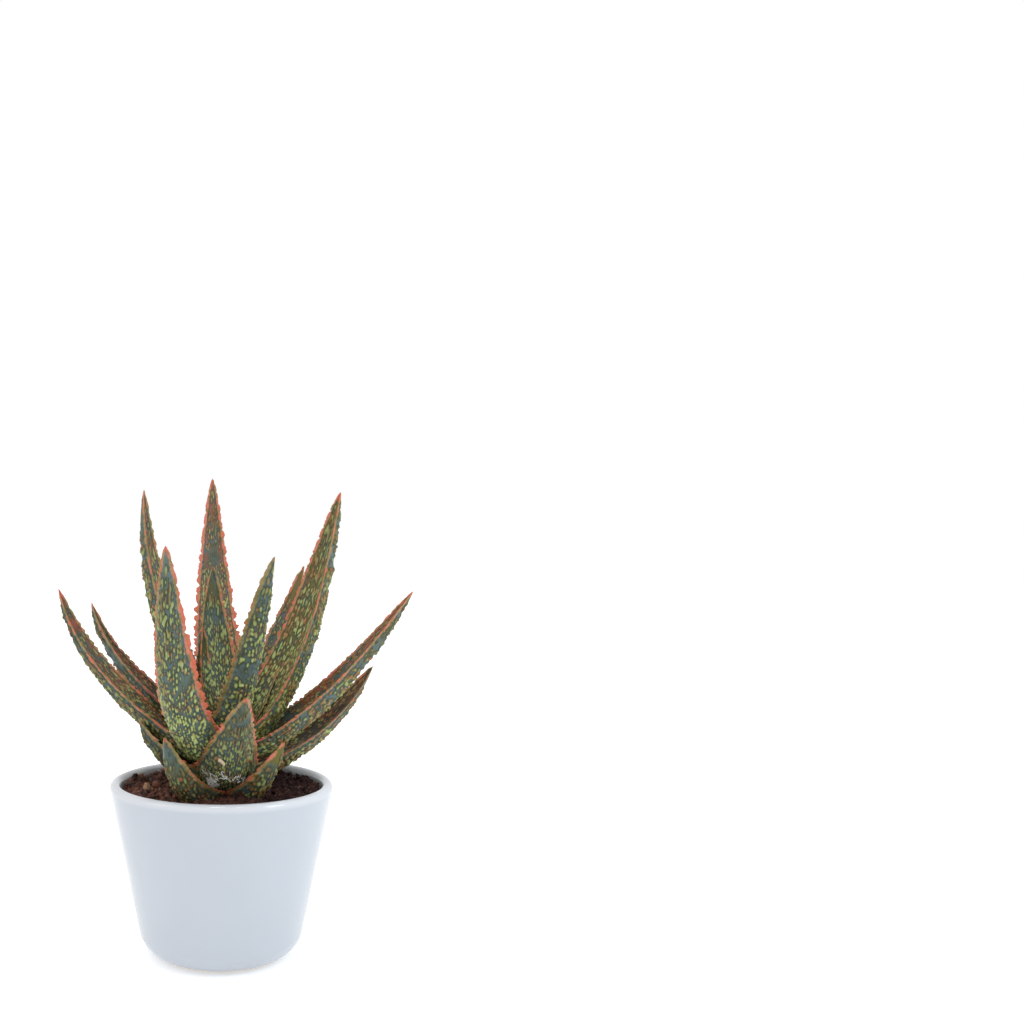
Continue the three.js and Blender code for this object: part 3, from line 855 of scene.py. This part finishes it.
def pot_profile():
    """The pot's outline from the middle of its underside out and up, over the lip and down to its floor."""
    lip = POT_WALL / 2
    tangent = np.tan(np.radians(WALL_ANGLE / 2))
    rounding = POT_FOOT_ROUNDING - POT_WALL
    foot_centre = POT_BASE_RADIUS - POT_FOOT_ROUNDING * tangent
    foot = arc(foot_centre, POT_FOOT_ROUNDING, POT_FOOT_ROUNDING, -90, WALL_ANGLE - 90, 24)
    rim = arc(POT_RIM_RADIUS - lip, POT_HEIGHT - lip, lip, WALL_ANGLE - 90, WALL_ANGLE + 90, 20)
    inside_centre = outer_radius(POT_FLOOR) - LEVEL_WALL - rounding * tangent
    inside = arc(inside_centre, POT_FLOOR + rounding, rounding, WALL_ANGLE - 90, -90, 10)
    return np.concatenate([[[0, 0]], foot, rim, inside, [[0, POT_FLOOR]]])


def stem_profile():
    """The stem's outline, which tapers at both ends."""
    return np.array(
        [
            [0, STEM_FOOT],
            [STEM_RADIUS * 0.5, STEM_FOOT + 0.002],
            [STEM_RADIUS, STEM_FOOT + 0.016],
            [STEM_RADIUS, SOIL_LEVEL + 0.004],
            [STEM_RADIUS * 0.85, STEM_TOP - 0.012],
            [STEM_RADIUS * 0.5, STEM_TOP - 0.002],
            [0, STEM_TOP],
        ]
    )


def colour(name, words, default):
    """A colour that a user may change."""
    return bpy.props.FloatVectorProperty(
        name=name, description=words, default=default, size=3, min=0, max=1, subtype="COLOR"
    )


class AloeLooks(bpy.types.PropertyGroup):
    """Sizes and colours that a user may want to change."""

    tooth_size: bpy.props.FloatProperty(
        name="Tooth size", description="Height of all teeth, times each leaf's own", default=1.0, min=0, max=3
    )
    spot_height: bpy.props.FloatProperty(
        name="Spot height", description="How far a spot stands up",
        default=0.0006, subtype="DISTANCE", unit="LENGTH",
    )
    crumbs: bpy.props.IntProperty(name="Crumbs", description="Loose crumbs on the soil", default=1150, min=60)
    slate: colour("Slate", "Bluish bloom of the leaves", (0.082, 0.127, 0.124))
    green: colour("Green", "Green of the leaves", (0.055, 0.078, 0.042))
    # dark green is the leaves' own dark streaks, and also painted shadow round the spots and painted shade
    # over whole leaves
    dark_green_and_shade: colour("Dark green", "Streaks in the leaves and rings round the spots", (0.018, 0.022, 0.008))
    olive: colour("Olive", "Yellowish green patches, and rinds of young spots", (0.15, 0.135, 0.025))
    # umber is also painted shade on the upper faces near the root
    umber_and_shade: colour("Umber", "Brown of sunburnt upper faces", (0.052, 0.031, 0.012))
    leaf_base: colour("Leaf base", "Pale foot of the leaves, and the stem", (0.12, 0.14, 0.04))
    lime: colour("Lime", "Young spots", (0.27, 0.345, 0.1))
    # pale lime is a painted highlight on the top of each young spot
    lime_highlight: colour("Pale lime", "Middle of the young spots", (0.43, 0.5, 0.22))
    tan: colour("Tan", "Older spots, and teeth without blush", (0.27, 0.2, 0.075))
    orange: colour("Orange", "Old spots and their rinds", (0.31, 0.14, 0.05))
    coral: colour("Coral", "Teeth, leaf tips and the oldest spots", (0.48, 0.105, 0.058))
    coral_dark: colour("Dark coral", "Blotches along the margins", (0.32, 0.074, 0.04))
    salmon: colour("Salmon", "Pale parts of the teeth and lines along the margins", (0.53, 0.168, 0.106))
    glaze: colour("Glaze", "Glaze of the pot", (0.42, 0.457, 0.51))
    # lip is painted light, a whiter colour for the light falling on the lip and the top of the inner wall
    lip: colour("Lip", "Glaze on the lip, where it is whiter", (0.78, 0.78, 0.79))
    bisque: colour("Bisque", "Bare foot of the pot", (0.62, 0.55, 0.46))
    soil: colour("Soil", "Moist soil", (0.155, 0.053, 0.03))
    # dark soil is the soil's own dark in its pores, and also the painted shade towards +x
    dark_soil_and_shade: colour("Dark soil", "Soil in its pores and where it is wet", (0.016, 0.006, 0.006))
    soil_fibre: colour("Fibre", "Dry fibres in the soil", (0.2, 0.1, 0.055))
    bark: colour("Bark", "Palest crumbs", (0.36, 0.21, 0.11))
    thread: colour("Thread", "Dry residue on the front leaf", (0.95, 0.95, 0.93))
    flake: colour("Flake", "Dry flake on the front leaf", (0.6, 0.48, 0.33))


class ALOE_OT_pot(bpy.types.Operator):
    """Adds the glazed pot, turned from one outline."""

    bl_idname = "aloe.pot"
    bl_label = "Pot"

    def execute(self, context):
        skin = turned(pot_profile(), POT_SIDES)
        add_piece("glazed_pot", skin, glaze_finish(context.scene.aloe), ["pot"])
        return {"FINISHED"}


class ALOE_OT_soil(bpy.types.Operator):
    """Adds the soil with its crumbs and fibres."""

    bl_idname = "aloe.soil"
    bl_label = "Soil"

    def bed(self, looks):
        """The soil filling the pot. Rings of its surface run from the hidden middle to the wall, and then
        down the wall to the pot's floor."""
        angle = circle(SOIL_SIDES)
        inner = np.linspace(SOIL_FIRST_RING, SOIL_HIDDEN_RADIUS, SOIL_HIDDEN_RINGS + 1)[:-1]
        outer = np.linspace(SOIL_HIDDEN_RADIUS, soil_wall(SOIL_LEVEL), SOIL_RINGS)
        radius = np.concatenate([inner, outer])[:, None]
        x = radius * np.cos(angle)
        y = radius * np.sin(angle)
        top = np.stack([x, y, soil_height(x, y)], -1)
        z = np.linspace(SOIL_LEVEL - SOIL_SINK, POT_FLOOR + SOIL_CORNER[1], SOIL_WALL_RINGS)
        foot = POT_FLOOR + SOIL_GAP
        down = np.append(soil_wall(z), soil_wall(POT_FLOOR) - SOIL_CORNER[0])[:, None]
        z = np.append(z, foot)[:, None]
        wall = np.stack([down * np.cos(angle), down * np.sin(angle), z + 0 * angle], -1)
        rings = np.concatenate([top, wall])
        ends = np.array([[0, 0, soil_height(0.0, 0.0)], [0, 0, foot]])
        skin = closed_skins(rings[None], ends[:1], ends[1:])
        add_piece("soil_bed", skin, soil_finish(looks), ["soil"])

    def crumbs(self, looks):
        """Lumps of many sizes, half sunk in the soil: small ones scattered evenly over its visible ring, and
        the last LUMPS of them large and heaped near the wall at the back left."""
        rng = np.random.default_rng(17)
        count = looks.crumbs
        heap = np.arange(count) >= count - LUMPS
        near, far = CRUMB_RING
        radius = np.where(heap, rng.uniform(*LUMP_RING, count), np.sqrt(rng.uniform(near**2, far**2, count)))
        angle = np.where(heap, rng.normal(*LUMP_SIDE, count), rng.uniform(0, 2 * np.pi, count))
        least, more = CRUMB_SIZE
        size = np.where(heap, rng.uniform(*LUMP_SIZE, count), least + more * rng.random(count) ** 3)
        x = radius * np.cos(angle)
        y = radius * np.sin(angle)
        centres = np.stack([x, y, soil_height(x, y) + CRUMB_RISE * size], 1)
        sizes = size[:, None] * rng.uniform(*CRUMB_STRETCH, (count, 3))
        skin = blobs(centres, sizes, 23)
        tint = np.repeat(rng.random(count), len(skin[0]) // count)
        add_piece("soil_crumbs", skin, crumb_finish(looks), values={"tint": tint})

    def fibres(self, looks):
        """Short bent threads that lie on the soil."""
        rng = np.random.default_rng(29)
        one = (FIBRES, 1)
        steps = len(FIBRE_TAPER)
        near, far = FIBRE_RING
        radius = np.sqrt(rng.uniform(near**2, far**2, FIBRES))[:, None]
        angle = rng.uniform(0, 2 * np.pi, one)
        way = rng.uniform(0, 2 * np.pi, one) + np.cumsum(rng.normal(0, FIBRE_BEND, (FIBRES, steps)), 1)
        step = rng.uniform(*FIBRE_STEP, one)
        x = radius * np.cos(angle) + np.cumsum(step * np.cos(way), 1)
        y = radius * np.sin(angle) + np.cumsum(step * np.sin(way), 1)
        rise = rng.uniform(0, FIBRE_LIFT[1], one) * np.linspace(0, 1, steps) ** 2
        z = soil_height(x, y) + FIBRE_LIFT[0] + rise
        radii = rng.uniform(*FIBRE_RADIUS, one) * np.array(FIBRE_TAPER)
        skin = tubes(np.stack([x, y, z], -1), radii)
        add_piece("soil_fibres", skin, thread_finish("fibres", looks.soil_fibre))

    def execute(self, context):
        looks = context.scene.aloe
        self.bed(looks)
        self.crumbs(looks)
        self.fibres(looks)
        return {"FINISHED"}


class ALOE_OT_stem(bpy.types.Operator):
    """Adds the stem that the leaves clasp."""

    bl_idname = "aloe.stem"
    bl_label = "Stem"

    def execute(self, context):
        skin = turned(stem_profile(), STEM_SIDES, STEM_X)
        add_piece("short_stem", skin, stem_finish(context.scene.aloe), ["stem"])
        return {"FINISHED"}


class ALOE_OT_leaves(bpy.types.Operator):
    """Adds every leaf, each with its own teeth and spots."""

    bl_idname = "aloe.leaves"
    bl_label = "Leaves"

    def execute(self, context):
        looks = context.scene.aloe
        finish = leaf_finish(looks)
        for number, (name, leaf) in enumerate(LEAVES.items()):
            skin, values, place = leaf_skin(leaf, looks, 100 + 7 * number)
            add_piece(f"{name}_leaf", skin, finish, [f"leaf_{name}"], values, place)
        return {"FINISHED"}


class ALOE_OT_residue(bpy.types.Operator):
    """Adds the white dry threads and the flake that cling to the foot of the front leaf."""

    bl_idname = "aloe.residue"
    bl_label = "Residue"

    def threads(self, looks):
        """Curling threads laid on the back of the leaf. Each is a walk with a slowly turning direction, in
        length along the leaf and share across it."""
        rng = np.random.default_rng(7)
        leaf = LEAVES["front_short"]
        one = (THREADS, 1)
        piece = np.minimum(rng.integers(0, TUFT_DRAWS, THREADS), len(THREAD_TRAIL) - 1)
        trail = np.array(THREAD_TRAIL)[piece]
        begin = trail[:, :2] + (trail[:, 2:] - trail[:, :2]) * rng.random(one)
        begin = begin + rng.normal(0, 1, (THREADS, 2)) * THREAD_SPREAD
        way = rng.uniform(0, 2 * np.pi, one)
        way = way + np.cumsum(rng.normal(0, THREAD_BEND, (THREADS, THREAD_STEPS)), 1)
        step = THREAD_STEP[0] + THREAD_STEP[1] * rng.random(one) ** 2
        s = begin[:, :1] + np.cumsum(step * np.cos(way), 1)
        t = begin[:, 1:] + np.cumsum(step * np.sin(way), 1) / (leaf.wide / 2)
        t = np.clip(t, -0.97, 0.97)
        arch = np.sin(np.linspace(0, np.pi, THREAD_STEPS))
        lift = THREAD_LIFT[0] + rng.uniform(0, THREAD_LIFT[1], one) * arch
        paths = leaf_points(leaf, s / leaf.long, t, np.full(s.shape, np.pi), 0.0, lift)
        radii = rng.uniform(*THREAD_RADIUS, one) * np.ones(THREAD_STEPS)
        add_piece("dry_threads", tubes(paths, radii), thread_finish("dry_threads", looks.thread))

    def flake(self, looks):
        """A thin curled scrap on the back of the leaf. Its outline is an ellipse with three waves."""
        leaf = LEAVES["front_short"]
        angle = circle(FLAKE_SIDES)
        ring, off = np.array(FLAKE_RINGS).T[..., None]
        s = FLAKE_PLACE[0] + FLAKE_REACH[0] * ring * np.sin(angle) + FLAKE_WAVE * np.sin(3 * angle)
        t = FLAKE_PLACE[1] + FLAKE_REACH[1] * ring * np.cos(angle)
        lift = off + FLAKE_CURL * np.cos(angle) ** 2
        rings = leaf_points(leaf, s / leaf.long, t, np.full(s.shape, np.pi), 0.0, lift)
        skin = closed_skins(rings[None], rings[:1].mean(1), rings[-1:].mean(1))
        add_piece("dry_flake", skin, thread_finish("dry_flake", looks.flake))

    def execute(self, context):
        looks = context.scene.aloe
        self.threads(looks)
        self.flake(looks)
        return {"FINISHED"}


class ALOE_OT_stage(bpy.types.Operator):
    """Adds the pale floor, which glows faintly as a light table does, the soft lights and the camera."""

    bl_idname = "aloe.stage"
    bl_label = "Stage"

    def floor(self):
        """A wide square at the height of the pot's foot."""
        mesh = bpy.data.meshes.new("floor")
        corners = [(FLOOR_REACH * x, FLOOR_REACH * y, 0) for x, y in ((-1, -1), (1, -1), (1, 1), (-1, 1))]
        mesh.from_pydata(corners, [], [(0, 1, 2, 3)])
        made = Finish("floor", roughness=0.6)
        shade = made.noise(made.place(), 3, 2)
        made.set("Base Color", made.mix(shade, (0.9, 0.9, 0.9), (0.88, 0.88, 0.88)))
        made.set("Emission Color", (1, 1, 1, 1))
        made.set("Emission Strength", FLOOR_GLOW)
        mesh.materials.append(made.material)
        floor = bpy.data.objects.new("floor", mesh)
        bpy.context.scene.collection.objects.link(floor)

    def light(self, name, place, size, power, tint):
        """An area light that faces the plant."""
        lamp = bpy.data.lights.new(name, "AREA")
        lamp.shape = "RECTANGLE"
        lamp.size, lamp.size_y = size
        lamp.energy = power
        lamp.color = tint
        lit = bpy.data.objects.new(name, lamp)
        bpy.context.scene.collection.objects.link(lit)
        back = np.array(place) - [0, 0, LIGHT_AIM]
        back = back / np.linalg.norm(back)
        right = np.cross([0, 0, 1], back)
        right = right / np.linalg.norm(right)
        turn = np.eye(4)
        turn[:3, :3] = np.stack([right, np.cross(back, right), back], 1)
        turn[:3, 3] = place
        lit.matrix_world = Matrix(turn.tolist())

    def camera(self):
        """The camera of the photograph, which looks slightly down at the plant with a shifted lens."""
        lens = bpy.data.cameras.new("camera")
        lens.sensor_width = CAMERA_SENSOR
        lens.lens = CAMERA_LENS
        lens.shift_x, lens.shift_y = CAMERA_SHIFT
        lens.clip_start = 0.01
        camera = bpy.data.objects.new("camera", lens)
        camera.location = CAMERA_PLACE
        camera.rotation_euler = np.radians(CAMERA_TURN)
        bpy.context.scene.collection.objects.link(camera)
        bpy.context.scene.camera = camera

    def execute(self, context):
        self.floor()
        world = bpy.data.worlds.new("studio")
        world.use_nodes = True
        sky = world.node_tree.nodes["Background"]
        sky.inputs["Color"].default_value = (1.0, 1.0, 1.0, 1)
        sky.inputs["Strength"].default_value = 1.0
        context.scene.world = world
        context.scene.view_settings.view_transform = "Standard"
        for name, (place, size, power, tint) in LIGHTS.items():
            self.light(name, place, size, power, tint)
        self.camera()
        return {"FINISHED"}


class ALOE_PT_panel(bpy.types.Panel):
    """Lists the pieces and the looks of the potted aloe."""

    bl_label = "Potted aloe"
    bl_idname = "ALOE_PT_panel"
    bl_space_type = "VIEW_3D"
    bl_region_type = "UI"
    bl_category = "Aloe"

    def draw(self, context):
        for operator in OPERATORS:
            self.layout.operator(operator.bl_idname)
        for name in AloeLooks.__annotations__:
            self.layout.prop(context.scene.aloe, name)


OPERATORS = (ALOE_OT_pot, ALOE_OT_soil, ALOE_OT_stem, ALOE_OT_leaves, ALOE_OT_residue, ALOE_OT_stage)
CLASSES = (AloeLooks, *OPERATORS, ALOE_PT_panel)


def register():
    for each in CLASSES:
        bpy.utils.register_class(each)
    bpy.types.Scene.aloe = bpy.props.PointerProperty(type=AloeLooks)


def unregister():
    del bpy.types.Scene.aloe
    for each in reversed(CLASSES):
        bpy.utils.unregister_class(each)


def main():
    register()
    bpy.ops.aloe.pot()
    bpy.ops.aloe.soil()
    bpy.ops.aloe.stem()
    bpy.ops.aloe.leaves()
    bpy.ops.aloe.residue()
    bpy.ops.aloe.stage()


if __name__ == "__main__":
    main()
